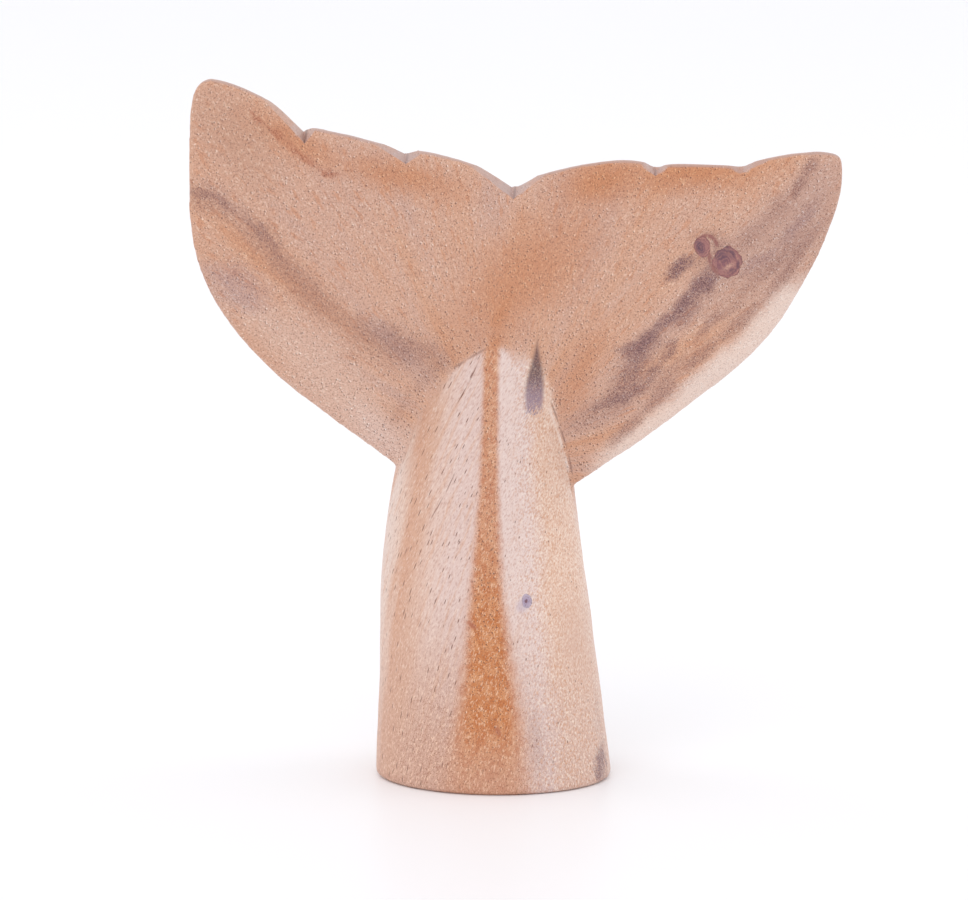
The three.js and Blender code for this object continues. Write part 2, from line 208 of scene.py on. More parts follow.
class Finish:
    """A material in the making. Its methods add nodes and give back their output. Lengths are in mm."""

    def __init__(self, name):
        self.material = bpy.data.materials.new(name)
        self.material.use_nodes = True
        self.tree = self.material.node_tree
        self.shader = self.tree.nodes["Principled BSDF"]

    def add(self, kind, *values, output=0, **settings):
        """Adds a node, sets it up and feeds its inputs in order."""
        node = self.tree.nodes.new("ShaderNode" + kind)
        for setting, value in settings.items():
            setattr(node, setting, value)
        for socket, value in zip([s for s in node.inputs if s.enabled], values):
            self.feed(socket, value)
        return [s for s in node.outputs if s.enabled][output]

    def feed(self, socket, value):
        if isinstance(value, bpy.types.NodeSocket):
            self.tree.links.new(value, socket)
        else:
            socket.default_value = value

    def place(self):
        in_metres = self.add("TexCoord", output=3)
        return self.add("VectorMath", in_metres, 1 / MM, operation="SCALE")

    def maths(self, operation, *values):
        return self.add("Math", *values, operation=operation)

    def vector(self, operation, *values):
        return self.add("VectorMath", *values, operation=operation)

    def axes(self, vector):
        node = self.add("SeparateXYZ", vector).node
        return node.outputs

    def combined(self, x, y, z):
        return self.add("CombineXYZ", x, y, z)

    def rise(self, value, low, high, to_low=0.0, to_high=1.0):
        """Runs smoothly between two results as the value runs from low to high."""
        return self.add("MapRange", value, low, high, to_low, to_high, interpolation_type="SMOOTHSTEP")

    def mix(self, share, one, other):
        return self.add("Mix", share, one, other, data_type="RGBA")

    def tinge(self, share, colour, tone):
        """Mixes a share of a tone into a colour."""
        return self.mix(share, colour, paint(*tone))

    def shade(self, share, colour, factors):
        """Lightens or darkens a colour by a factor for each of red, green and blue."""
        return self.add("Mix", share, colour, (*factors, 1), data_type="RGBA", blend_type="MULTIPLY")

    def blend(self, share, one, other):
        """Mixes two plain numbers, as mix does two colours."""
        return self.add("Mix", share, one, other, data_type="FLOAT")

    def noise(self, place, detail=2.0, roughness=0.5):
        return self.add("TexNoise", place, 1.0, detail, roughness)

    def swing(self, place, detail=2.0, roughness=0.5):
        """Noise from -0.5 to 0.5."""
        return self.maths("SUBTRACT", self.noise(place, detail, roughness), 0.5)

    def wander(self, place, length, detail):
        """An offset that wanders in every direction, each part of it from -0.5 to 0.5."""
        noise = self.add("TexNoise", self.vector("SCALE", place, 1 / length), 1.0, detail, output=1)
        return self.vector("SUBTRACT", noise, (0.5, 0.5, 0.5))

    def sized(self, place, x, y, z):
        """The place in units of a pattern's own size along each axis."""
        return self.vector("MULTIPLY", place, (1 / x, 1 / y, 1 / z))

    def bands(self, value, stops):
        """Bands of colour along a value, each given by its position and its tone."""
        ramp = self.add("ValToRGB", value)
        elements = ramp.node.color_ramp.elements
        while len(elements) < len(stops):
            elements.new(1)
        for element, (position, tone) in zip(elements, stops):
            element.position = position
            element.color = paint(*tone)
        return ramp

    def stroke(self, place, start, end, half_width):
        """How far a place is from the middle of a long oval patch, where 1 is its rim."""
        along = Vector((*end, 0)) - Vector((*start, 0))
        middle = (Vector((*start, 0)) + Vector((*end, 0))) / 2
        reach = along.length / 2 + half_width
        along.normalize()
        offset = self.vector("SUBTRACT", place, middle)
        lengthways = self.vector("DOT_PRODUCT", offset, along / reach)
        sideways = self.vector("DOT_PRODUCT", offset, Vector((-along.y, along.x, 0)) / half_width)
        return self.vector("LENGTH", self.combined(lengthways, sideways, 0.0))

    def streak(self, place, half_width, *points):
        """How far a place is from the nearest of the strokes that join the points."""
        nearest = None
        for start, end in zip(points, points[1:]):
            gap = self.stroke(place, start, end, half_width)
            nearest = gap if nearest is None else self.maths("MINIMUM", nearest, gap)
        return nearest

    def bump(self, depth, relief):
        """Gives the surface a relief, whose depth is in metres, as the mesh is. Nothing is given back."""
        self.feed(self.shader.inputs["Normal"], self.add("Bump", BUMP_STRENGTH, depth, BUMP_FILTER, relief))


wood = Finish("carved_wood")
place = wood.place()
x, y, z = wood.axes(place)

# Where a place lies: how deep behind the hollowed front of the flukes, and on the stem or on the flukes. A
# pair of lengths, here and below, is where a change begins and where it is complete, in mm.
HEEL_OFFSET = 2.6
HOLLOWING = 0.0005
CREASE_SHARPENS = (-16.0, -4.0)
LEFT_CRISPNESS = 0.22
STRIPE_TOP_X = 6.5
CREASE_OFF_STRIPE = (1.0, 6.0)
STRIPE_CRISPNESS = 0.3
FRONT_DEPTH = (0.05, -0.65)
FRONT_SIDES = (46.0, 40.0)
BACK_DEPTH = (6.0, 9.0)
BACK_SIDES = (30.0, 20.0)
BACK_TOP = (140.0, 96.0)
STEM_TOP = (82.0, 72.0)
off_heel = wood.maths("ADD", x, HEEL_OFFSET)
hollow = wood.maths("MULTIPLY", wood.maths("MULTIPLY", off_heel, off_heel), HOLLOWING)
over_knee = wood.maths("SUBTRACT", z, KNEE_HEIGHT / MM)
from_lean = wood.maths("MULTIPLY_ADD", over_knee, math.sin(FLUKE_LEAN), hollow)
depth = wood.maths("MULTIPLY_ADD", y, math.cos(FLUKE_LEAN), from_lean)
off_stem = wood.maths("ABSOLUTE", off_heel)
crispness = wood.rise(x, *CREASE_SHARPENS, LEFT_CRISPNESS, 1.0)
beside_stripe = wood.maths("ABSOLUTE", wood.maths("SUBTRACT", x, STRIPE_TOP_X))
stripe_crispness = wood.rise(beside_stripe, *CREASE_OFF_STRIPE, STRIPE_CRISPNESS, 1.0)
crispness = wood.maths("MULTIPLY", crispness, stripe_crispness)
in_front = wood.rise(wood.maths("MULTIPLY", depth, crispness), *FRONT_DEPTH)
in_front = wood.maths("MULTIPLY", in_front, wood.rise(off_stem, *FRONT_SIDES))
behind = wood.maths("MULTIPLY", wood.rise(depth, *BACK_DEPTH), wood.rise(off_stem, *BACK_SIDES))
behind = wood.maths("MULTIPLY", behind, wood.rise(z, *BACK_TOP))
on_stem = wood.maths("MAXIMUM", wood.maths("MAXIMUM", in_front, behind), wood.rise(z, *STEM_TOP))

# Fibres lean to the right as they climb the stem, and spread like a fan into the flukes.
FIBRE_LEAN = 0.15
FIBRE_CURVE = 0.0016
FAN_HEIGHT = 88.0
FAN_OFFSET = 2.0
FAN_RADIUS = 60.0
fibre_drift = wood.maths("MULTIPLY_ADD", z, FIBRE_CURVE, FIBRE_LEAN)
across_stem = wood.maths("SUBTRACT", x, wood.maths("MULTIPLY", z, fibre_drift))
fan_x = wood.maths("SUBTRACT", x, FAN_OFFSET)
fan_z = wood.maths("SUBTRACT", z, FAN_HEIGHT)
across_fan = wood.maths("MULTIPLY", wood.maths("ARCTAN2", fan_x, fan_z), FAN_RADIUS)
along_fan = wood.vector("LENGTH", wood.combined(fan_x, fan_z, 0.0))
stem_fibre = wood.combined(across_stem, y, z)
fluke_fibre = wood.combined(across_fan, depth, along_fan)

# The front of the block as a drawing. Its lines slant to the left and down as they run into the wood, and
# they waver and fray along the fibres.
SLANT_LEFT = 0.6
SLANT_DOWN = 0.3
WAVER_LENGTH = 11
WAVER_REACH = 5.0
FRAY_SIZE = (0.8, 0.8, 4.0)
FRAY_REACH = 3.6
waver_x, _, waver_z = wood.axes(wood.wander(place, WAVER_LENGTH, 2.0))
fray = wood.maths("MULTIPLY", wood.swing(wood.sized(fluke_fibre, *FRAY_SIZE)), FRAY_REACH)
sunk = wood.maths("MAXIMUM", depth, 0.0)
sunk_x = wood.maths("MULTIPLY_ADD", sunk, SLANT_LEFT, x)
sunk_z = wood.maths("MULTIPLY_ADD", sunk, SLANT_DOWN, z)
drawn_x = wood.maths("ADD", sunk_x, wood.maths("MULTIPLY_ADD", waver_x, WAVER_REACH, fray))
drawn_z = wood.maths("ADD", sunk_z, wood.maths("MULTIPLY_ADD", waver_z, WAVER_REACH, fray))
drawing = wood.combined(drawn_x, drawn_z, 0.0)
plain_drawing = wood.combined(x, z, 0.0)

# Cut fibres, as a fine stipple of dark and pale flecks. A rise over such a noise picks out its dark flecks
# where its limits run down, and its pale ones where they run up.
STIPPLE_SIZE = (0.3, 0.3, 0.36)
FLECK_SIZE = (0.26, 0.3, 0.85)
WARM_FLECK_SIZE = (0.9, 0.9, 5.0)
STEM_STIPPLE_SIZE = (0.4, 0.4, 1.1)
RIPPLE_SIZE = (0.48, 0.5, 0.85)
stipple = wood.noise(wood.sized(place, *STIPPLE_SIZE), 1.0)
flecks = wood.noise(wood.sized(fluke_fibre, *FLECK_SIZE), 1.0)
warm_flecks = wood.noise(wood.sized(fluke_fibre, *WARM_FLECK_SIZE), 2.0)
stem_stipple = wood.noise(wood.sized(stem_fibre, *STEM_STIPPLE_SIZE), 1.0)
ripple = wood.noise(wood.sized(stem_fibre, *RIPPLE_SIZE), 2.0)

# Stem bands, from the left edge over the front to the right edge, and others behind. A place among the
# bands is counted from 0 at the far left to 1 at the far right.
STRIPE_OFFSET = 0.6
STRIPE_FOOT_OFFSET = -0.7
STRIPE_SHIFTS = (66.0, 14.0)
CREASE_HEIGHT = 110.0
BAND_WIDTH = 14.3
BAND_SPREAD = 0.11
BAND_REACH = 1.6
BAND_WAVE_SIZE = (4.0, 8.0, 45.0)
BAND_WAVE = 0.35
BACK_WAVE = 30.0
BACK_LEAN = -0.02
BACK_SHOWS = (4.0, 14.0)
FRONT_SHOWS = (14.0, 4.0)
MARK_DEPTH = (5.0, 3.0)
FIBRE_LINE_SIZE = (1.0, 2.0, 30.0)
LEFT_BANDS = (0.5, 0.4)
RIGHT_BANDS = (0.54, 0.74)
TAN_FOOT = (58.0, 4.0)
TAN_FROM_RIGHT = (0.7, 0.56)
TAN_FROM_LEFT = (0.08, 0.28)
GREY_FROM_LEFT = (0.58, 0.7)
FIBRE_LINE = (212, 166, 140)
FOOT_TAN = (203, 160, 139)
FOOT_GREY = (198, 168, 163)
STEM_DARK = (174, 124, 106)
STEM_PALE = (246, 230, 220)
RIPPLE_HOLLOW = (208, 156, 124)
RIPPLE_CREST = (247, 231, 216)
stripe_x = wood.maths("ADD", x, wood.rise(z, *STRIPE_SHIFTS, STRIPE_OFFSET, STRIPE_FOOT_OFFSET))
drop = wood.maths("SUBTRACT", CREASE_HEIGHT, z)
band_width = wood.maths("MULTIPLY_ADD", drop, BAND_SPREAD, BAND_WIDTH)
band_wave = wood.swing(wood.sized(stem_fibre, *BAND_WAVE_SIZE), 3.0)
band = wood.maths("MULTIPLY_ADD", band_wave, BAND_WAVE, wood.maths("DIVIDE", stripe_x, band_width))
band = wood.add("MapRange", band, -BAND_REACH, BAND_REACH, 0.0, 1.0)


def across_bands(*stops):
    """Places among the bands, from places in widths of a band to the left or right of the stripe."""
    return [((where + BAND_REACH) / 2 / BAND_REACH, tone) for where, tone in stops]


front_bands = across_bands(
    (-1.55, (224, 200, 188)),
    (-1.4, (222, 192, 176)),
    (-1.25, (209, 161, 135)),
    (-1.05, (214, 173, 151)),
    (-0.84, (223, 193, 180)),
    (-0.5, (223, 197, 189)),
    (-0.2, (222, 194, 185)),
    (0.25, (228, 205, 198)),
    (0.62, (227, 204, 198)),
    (0.86, (228, 193, 172)),
    (1.15, (230, 196, 176)),
    # The palest stop, at the far right, is partly the wood's own tone and partly painted sheen along the
    # stem's right edge.
    (1.5, (236, 218, 208)),
)
back_bands = across_bands(
    (-1.5, (222, 192, 178)),
    (-1.0, (216, 172, 148)),
    (-0.55, (205, 150, 118)),
    (-0.2, (217, 180, 162)),
    (0.15, (225, 198, 188)),
    (0.5, (211, 162, 134)),
    (0.95, (222, 188, 170)),
    (1.5, (224, 196, 184)),
)
behind_middle = wood.maths("MULTIPLY_ADD", band_wave, BACK_WAVE, wood.maths("MULTIPLY_ADD", z, BACK_LEAN, y))
to_back = wood.rise(behind_middle, *BACK_SHOWS)
on_front = wood.maths("MULTIPLY", wood.rise(behind_middle, *FRONT_SHOWS), wood.rise(depth, *MARK_DEPTH))
stem_colour = wood.mix(to_back, wood.bands(band, front_bands), wood.bands(band, back_bands))
fibre_line = wood.noise(wood.sized(stem_fibre, *FIBRE_LINE_SIZE), 4.0, 0.6)
on_left = wood.rise(band, *LEFT_BANDS, 0.25, 0.6)
fibre_share = wood.maths("MULTIPLY", wood.rise(fibre_line, 0.5, 0.68), on_left)
stem_colour = wood.tinge(fibre_share, stem_colour, FIBRE_LINE)
tan_foot = wood.rise(z, *TAN_FOOT, 0.0, 0.85)
tan_foot = wood.maths("MULTIPLY", tan_foot, wood.rise(band, *TAN_FROM_RIGHT, 0.5, 1.0))
tan_foot = wood.maths("MULTIPLY", tan_foot, wood.rise(band, *TAN_FROM_LEFT, 0.4, 1.0))
foot_tone = wood.mix(wood.rise(band, *GREY_FROM_LEFT), paint(*FOOT_TAN), paint(*FOOT_GREY))
stem_colour = wood.mix(tan_foot, stem_colour, foot_tone)
stem_colour = wood.tinge(wood.rise(stem_stipple, 0.48, 0.3, 0.0, 0.4), stem_colour, STEM_DARK)
stem_colour = wood.tinge(wood.rise(stem_stipple, 0.56, 0.72, 0.0, 0.35), stem_colour, STEM_PALE)
on_right = wood.rise(band, *RIGHT_BANDS)
ripple_hollow = wood.maths("MULTIPLY", on_right, wood.rise(ripple, 0.48, 0.34, 0.0, 0.75))
stem_colour = wood.tinge(ripple_hollow, stem_colour, RIPPLE_HOLLOW)
ripple_crest = wood.maths("MULTIPLY", on_right, wood.rise(ripple, 0.53, 0.68, 0.0, 0.62))
stem_colour = wood.tinge(ripple_crest, stem_colour, RIPPLE_CREST)

# The orange heart stripe widens downwards and fades into the foot.
STRIPE_HALF = 2.1
STRIPE_SPREAD = 0.0008
STRIPE_EDGE = (1.45, 0.55)
STRIPE_FOOT = (2.0, 22.0)
STRIPE_THINS = (45.0, 80.0)
BLOTCH_SIZE = (1.7, 2.5, 2.6)
BLOTCH_REACH = 0.4
STRIPE_DEEP = (192, 113, 58)
STRIPE_LIGHT = (210, 145, 99)
COARSE_DARK = (152, 92, 62)
COARSE_PALE = (240, 200, 170)
stripe_half = wood.maths("MULTIPLY_ADD", wood.maths("MULTIPLY", drop, drop), STRIPE_SPREAD, STRIPE_HALF)
blotch = wood.swing(wood.sized(place, *BLOTCH_SIZE), 3.0, 0.6)
stripe_gap = wood.maths("DIVIDE", wood.maths("ABSOLUTE", stripe_x), stripe_half)
stripe = wood.rise(wood.maths("MULTIPLY_ADD", blotch, BLOTCH_REACH, stripe_gap), *STRIPE_EDGE)
stripe = wood.maths("MULTIPLY", stripe, wood.rise(z, *STRIPE_FOOT, 0.45, 1.0))
stripe = wood.maths("MULTIPLY", stripe, wood.rise(z, *STRIPE_THINS, 1.0, 0.8))
stripe = wood.maths("MULTIPLY", stripe, on_front)
stripe_tone = wood.mix(wood.rise(blotch, -0.16, 0.16), paint(*STRIPE_DEEP), paint(*STRIPE_LIGHT))
stem_colour = wood.mix(stripe, stem_colour, stripe_tone)
coarse = wood.maths("MAXIMUM", stripe, tan_foot)
coarse_dark = wood.maths("MULTIPLY", coarse, wood.rise(stipple, 0.47, 0.31, 0.0, 0.95))
stem_colour = wood.tinge(coarse_dark, stem_colour, COARSE_DARK)
coarse_pale = wood.maths("MULTIPLY", coarse, wood.rise(stem_stipple, 0.56, 0.68, 0.0, 0.6))
stem_colour = wood.tinge(coarse_pale, stem_colour, COARSE_PALE)

# Flukes, tan with rays of orange and of greyed wood along the fan of the fibres.
RAY_SIZE = (9.0, 12.0, 55.0)
WARM_FLECK = (204, 138, 100)
DARK_FIBRE = (0.5, 0.4, 0.38)
PALE_FIBRE = (1.18, 1.38, 1.48)
FLUKE_TONES = (
    (0.3, (203, 162, 144)),
    (0.47, (211, 166, 143)),
    (0.62, (211, 161, 133)),
    (0.75, (207, 150, 117)),
)
rays = wood.noise(wood.sized(fluke_fibre, *RAY_SIZE), 3.0)
fluke_colour = wood.bands(rays, FLUKE_TONES)
fluke_colour = wood.tinge(wood.rise(warm_flecks, 0.54, 0.7, 0.0, 0.5), fluke_colour, WARM_FLECK)

# Strokes of a tone. An edge is where a stroke begins to show and where it shows in full, as shares of its
# half width.
TINT_EDGE = (1.2, 0.1)
STAIN_EDGE = (1.15, 0.25)


def tint(colour, share, tone, half_width, *points):
    """Tones the wood softly along a broad streak."""
    gap = wood.streak(drawing, half_width, *points)
    return wood.tinge(wood.rise(gap, *TINT_EDGE, 0.0, share), colour, tone)


def stain(colour, share, tone, half_width, *points, within=1.0):
    """Darkens the wood along a streak, fibre by fibre."""
    gap = wood.streak(drawing, half_width, *points)
    amount = wood.maths("MULTIPLY", wood.rise(gap, *STAIN_EDGE, 0.0, share), within)
    amount = wood.maths("MULTIPLY", amount, wood.rise(stipple, 0.68, 0.4, 0.4, 1.0))
    return wood.tinge(amount, colour, tone)


ORANGE = (201, 136, 97)
SALMON = (217, 178, 158)
MAUVE = (132, 100, 108)
GREYED = (190, 152, 138)
SAPWOOD = (240, 220, 208)
HEEL_PALE = (222, 190, 176)
TIP_TAN = (198, 150, 124)
PLUM = (116, 77, 82)
SMOKE = (150, 124, 134)
UMBER = (148, 104, 94)
RUST = (170, 98, 70)

# Each row of a table is a share, a tone, half a width and the points that it runs through, across and up.
TINTS = (
    (0.8, ORANGE, 17, (-4, 130), (22, 156)),
    (1.0, ORANGE, 9.5, (24, 170), (40, 174), (76, 178)),
    (0.8, ORANGE, 7, (-64, 188), (-42, 176), (-8, 168)),
    (0.9, ORANGE, 2.6, (-0.6, 119), (1, 128), (5, 138)),
    (0.7, ORANGE, 7, (18, 104), (30, 128)),
    (1.0, SALMON, 12, (-58, 122), (-28, 92)),
    (0.7, SALMON, 9, (-70, 134), (-40, 112)),
    (0.8, HEEL_PALE, 7, (-38, 102), (-24, 90)),
    (0.7, GREYED, 11, (96, 176), (80, 148)),
    (0.6, GREYED, 12, (90, 168), (60, 136)),
    (0.7, TIP_TAN, 12, (-76, 192), (-64, 174)),
)
for row in TINTS:
    fluke_colour = tint(fluke_colour, *row)

# The pale rim of sapwood. Its strokes run back and forth, so that they overlap into an even band.
RIM_HALF_WIDTH = 6.2
RIM_EDGE = (1.15, 0.3)
RIM_SHARE = 0.74
RIM = (
    (86, 142), (78, 131), (84, 139), (68, 119), (74, 126),
    (54, 107), (62, 114), (42, 96), (50, 103), (30, 86),
)
rim = wood.rise(wood.streak(drawing, RIM_HALF_WIDTH, *RIM), *RIM_EDGE)
fluke_colour = wood.tinge(wood.maths("MULTIPLY", rim, RIM_SHARE), fluke_colour, SAPWOOD)


def off_rim(loss, share):
    """A share that is less by the loss on the pale rim."""
    return wood.maths("MULTIPLY_ADD", rim, -loss, share)


STAINS = (
    (0.45, UMBER, 6, (-84, 168), (-70, 161), (-56, 144)),
    (0.5, UMBER, 6, (-58, 146), (-42, 130), (-14, 118)),
    (0.4, PLUM, 2, (-84, 169), (-70, 162), (-57, 147)),
    (0.42, SMOKE, 7, (-76, 144), (-66, 137)),
    # The row below is partly the wood's darker tone and partly painted shade in the soft hollow beside the
    # left crease.
    (0.3, UMBER, 9, (-40, 126), (-16, 119)),
    (0.25, UMBER, 2.2, (-14, 118), (-24, 108), (-28, 100)),
    (0.6, PLUM, 4, (61.8, 146), (58, 139), (52, 131)),
    (0.8, PLUM, 2.6, (62.3, 144), (56, 139.6), (52, 134.7), (45.7, 128), (40.5, 123.6)),
    (0.95, PLUM, 3.2, (54.8, 148.8), (50.6, 145.2)),
    (0.62, PLUM, 4.8, (46, 126), (38, 119.4)),
    (0.6, PLUM, 3, (41, 123.4), (35.6, 123)),
    (0.62, PLUM, 2, (50.8, 125), (47.7, 120), (43.5, 113.4), (39, 110), (26.2, 104.2)),
    (0.7, PLUM, 5, (42, 119), (34, 108)),
    (0.35, UMBER, 6, (33, 106), (22, 100)),
    (0.75, UMBER, 2, (90.8, 180), (87.3, 174.2), (83.5, 169)),
    (0.55, PLUM, 7, (61, 153), (64, 149)),
    (0.4, UMBER, 3.4, (84, 170), (76, 160), (69, 153)),
    (0.65, UMBER, 2.6, (93, 162), (76, 138.5), (64, 126.5), (52, 116.5), (43, 105), (34, 95)),
    (0.4, UMBER, 1.5, (90, 162), (72, 140), (58, 128)),
    (0.4, UMBER, 1.8, (84, 155), (66, 137), (56, 124), (42, 109)),
    (0.4, MAUVE, 2.2, (92, 168), (80, 154), (70, 146)),
    (0.7, RUST, 1.2, (-66, 191), (-62, 186), (-56, 182), (-47, 174), (-42, 172)),
)
for row in STAINS:
    fluke_colour = stain(fluke_colour, *row)
stipple_share = wood.maths("MULTIPLY", wood.rise(stipple, 0.48, 0.3), off_rim(0.35, 0.85))
fluke_colour = wood.shade(stipple_share, fluke_colour, DARK_FIBRE)
fleck_share = wood.maths("MULTIPLY", wood.rise(flecks, 0.54, 0.7), off_rim(0.6, 1.0))
fluke_colour = wood.shade(fleck_share, fluke_colour, PALE_FIBRE)
colour = wood.mix(on_stem, fluke_colour, stem_colour)

# A dark wedge of bark stain over the crease, brown above, lilac and frayed below. Its place across is given
# at its end and at its top, and half its width at its top and at its widest.
WEDGE_TOP = 131.0
WEDGE_WIDEST = 110.0
WEDGE_END = 104.8
WEDGE_PLACES = (11.4, 12.5)
WEDGE_HALVES = (-0.7, 2.6)
WEDGE_NARROWING = 0.9
WEDGE_FRAY = 2.0
WEDGE_FADE = (-0.6, 0.8)
WEDGE_FRINGE = 12.0
FRINGE_FADE = 1.5
WEDGE_CHANGES = (107.0, 117.0)
WEDGE_LILAC = (146, 122, 138)
WEDGE_BROWN = (92, 62, 66)
wedge_x = wood.maths("SUBTRACT", x, wood.rise(z, WEDGE_END, WEDGE_TOP, *WEDGE_PLACES))
wedge_half = wood.rise(z, WEDGE_TOP, WEDGE_WIDEST, *WEDGE_HALVES)
wedge_half = wood.maths("MULTIPLY", wedge_half, wood.rise(z, WEDGE_END, WEDGE_WIDEST, WEDGE_NARROWING, 1.0))
wedge = wood.maths("SUBTRACT", wedge_half, wood.maths("ABSOLUTE", wedge_x))
wedge = wood.maths("MULTIPLY_ADD", wood.maths("SUBTRACT", stipple, 0.5), WEDGE_FRAY, wedge)
wedge = wood.maths("MULTIPLY", wood.rise(wedge, *WEDGE_FADE), on_front)
fringe_z = wood.maths("MULTIPLY_ADD", stem_stipple, WEDGE_FRINGE, wood.maths("SUBTRACT", z, WEDGE_FRINGE / 2))
wedge = wood.maths("MULTIPLY", wedge, wood.rise(fringe_z, WEDGE_END - FRINGE_FADE, WEDGE_END + FRINGE_FADE))
wedge = wood.maths("MULTIPLY", wedge, wood.rise(stipple, 0.66, 0.42, 0.6, 0.95))
wedge_tone = wood.mix(wood.rise(z, *WEDGE_CHANGES), paint(*WEDGE_LILAC), paint(*WEDGE_BROWN))
colour = wood.mix(wedge, colour, wedge_tone)

# Stains on the foot, with painted shade up its right end, bark round the knots, flecks in the stripe, drying
# checks and the lines of the crease, whose dark lines are painted shade.
FOOT_FRONT = (0.0, -5.0)
MARK_EDGE = (1.1, 0.3)
FOOT_END_SHADE = (102, 68, 82)
CHECK = (132, 92, 80)
CREASE_SHADE = (138, 100, 88)
LILAC = (188, 174, 190)
KNOT_RED = (146, 90, 84)
KNOT_LINK = (216, 174, 152)
FOOT_BLUSH = (206, 166, 148)
FOOT_STAINS_AND_SHADE = (
    # The first two rows are painted shade up the right end of the foot; the last is a stain.
    (0.8, FOOT_END_SHADE, 2, (30.9, 9.5), (32.3, 0)),
    (0.15, FOOT_END_SHADE, 1.6, (29.2, 28), (30.6, 12)),
    (0.25, UMBER, 3, (13, 24), (15, 6)),
)
MARKS = (
    (0.55, LILAC, 2.2, (9.3, 51.6), (10, 52.8)),
    (0.85, KNOT_RED, 0.8, (57.8, 155.6), (60.2, 156.6), (62.2, 155.4), (62.8, 153.6)),
    (0.8, KNOT_RED, 0.8, (60.6, 151.8), (60.8, 148.4), (63, 145.2)),
    (0.5, KNOT_LINK, 1.2, (60.2, 155), (61.2, 152)),
    (0.8, RUST, 0.9, (-5.4, 47.5), (-3.2, 46)),
    (0.7, RUST, 1.1, (3, 19), (3.8, 17)),
    (0.8, CHECK, 0.22, (-4.3, 118.4), (-7, 112.5), (-10.4, 106.3)),
    (0.7, CHECK, 0.22, (-10, 88.5), (-13, 82), (-17.5, 74)),
    # The next two rows are dark lines of painted shade along the left and the right crease.
    (0.5, CREASE_SHADE, 0.45, (-1.6, 122.8), (-7.8, 118.9), (-11.5, 116.5)),
    (0.65, CREASE_SHADE, 0.35, (15.7, 108), (18.2, 100), (20.4, 92.5), (21.8, 84)),
    (0.6, SAPWOOD, 0.5, (15, 107), (17.3, 99.5), (19.4, 92), (20.6, 86)),
)


def mark(colour, share, tone, half_width, *points):
    """A mark with a plain edge on the front, such as a drying check or a fleck."""
    gap = wood.streak(plain_drawing, half_width, *points)
    amount = wood.maths("MULTIPLY", wood.rise(gap, *MARK_EDGE, 0.0, share), on_front)
    return wood.tinge(amount, colour, tone)


in_sight = wood.rise(y, *FOOT_FRONT)
colour = tint(colour, 0.3, FOOT_BLUSH, 7, (22, 52), (26, 30))
for row in FOOT_STAINS_AND_SHADE:
    colour = stain(colour, *row, within=in_sight)
for row in MARKS:
    colour = mark(colour, *row)

# Flanks of the V cuts, paler and greyer than the wood round them, with painted shade along the bottom of each
# cut, and a painted lilac-grey reflection of the light above on the up-facing top of the trailing edge.
NICK_HALF = 2
NICK_DROP = 3
NICK_REACH = 5
NICK_EDGE = (1.0, 0.7)
FLANK_SLOPE = (0.3, 0.5)
V_BOTTOM_SHADE_REACH = (0.6, 0.1)
TOP_REFLECTION_SLOPE = (0.5, 0.9)
TOP_REFLECTION_HEIGHT = (140.0, 155.0)
FLANK_PALE = (198, 176, 172)
V_BOTTOM_SHADE = (112, 84, 84)
TOP_EDGE_REFLECTION = (174, 147, 145)
facing_x, _, facing_z = wood.axes(wood.add("NewGeometry", output=1))
nicks = None
bottoms = None
for across, rise, *_ in V_CUTS:
    height = KNEE_HEIGHT / MM + rise * math.cos(FLUKE_LEAN) - NICK_DROP
    near = wood.stroke(plain_drawing, (across - NICK_HALF, height), (across + NICK_HALF, height), NICK_REACH)
    nicks = near if nicks is None else wood.maths("MINIMUM", nicks, near)
    line = wood.maths("ABSOLUTE", wood.maths("SUBTRACT", x, across))
    bottoms = line if bottoms is None else wood.maths("MINIMUM", bottoms, line)
flank = wood.rise(wood.maths("ABSOLUTE", facing_x), *FLANK_SLOPE)
flank = wood.maths("MULTIPLY", flank, wood.rise(nicks, *NICK_EDGE))
flank_share = wood.maths("MULTIPLY", flank, wood.rise(stipple, 0.4, 0.6, 0.25, 0.75))
colour = wood.tinge(flank_share, colour, FLANK_PALE)
# Painted shade along the bottom line of each V cut.
v_bottom_shade = wood.maths("MULTIPLY", flank, wood.rise(bottoms, *V_BOTTOM_SHADE_REACH, 0.0, 0.55))
colour = wood.tinge(v_bottom_shade, colour, V_BOTTOM_SHADE)
# Painted reflection: where the top of the trailing edge faces up it is tinted lilac-grey, as it reflects the
# light above.
top_edge_reflection = wood.maths("MULTIPLY", wood.rise(facing_z, *TOP_REFLECTION_SLOPE), wood.rise(z, *TOP_REFLECTION_HEIGHT, 0.0, 0.55))
colour = wood.tinge(top_edge_reflection, colour, TOP_EDGE_REFLECTION)

# Pores. Long ones show as brown dashes on the stem, mostly on its pale left. On the flukes and in the stripe
# they are cut across, and show as dots with a pale lip, larger and closer together near the heel.
PORE = (118, 76, 60)
PORE_LIP = (1.28, 1.56, 1.75)
DASH_SPACING = (0.95, 0.95, 7.0)
DOT_SPACING = (1.0, 1.0, 1.25)
DASHED_BANDS = (0.6, 0.46)
CLOSE_DOTS = (70.0, 25.0)
LARGE_DOTS = (60.0, 20.0)
LIP_SHIFT = (-0.26, 0.0, -0.16)
CURL_LENGTH = 0.6
CURL_REACH = 0.55
PORE_DEPTH = 0.1 * MM
STIPPLE_RELIEF = 0.5
WAX_ROUGHNESS = 0.4


def pores_in(place, spacing, share, reach, core):
    """Pores at a share of the places a spacing apart, full in their core and gone past their reach."""
    cells = wood.add("TexVoronoi", wood.sized(place, *spacing), 1.0).node
    chance = wood.axes(cells.outputs["Color"])[0]
    chosen = wood.maths("LESS_THAN", chance, share)
    return wood.maths("MULTIPLY", chosen, wood.rise(cells.outputs["Distance"], reach, core))


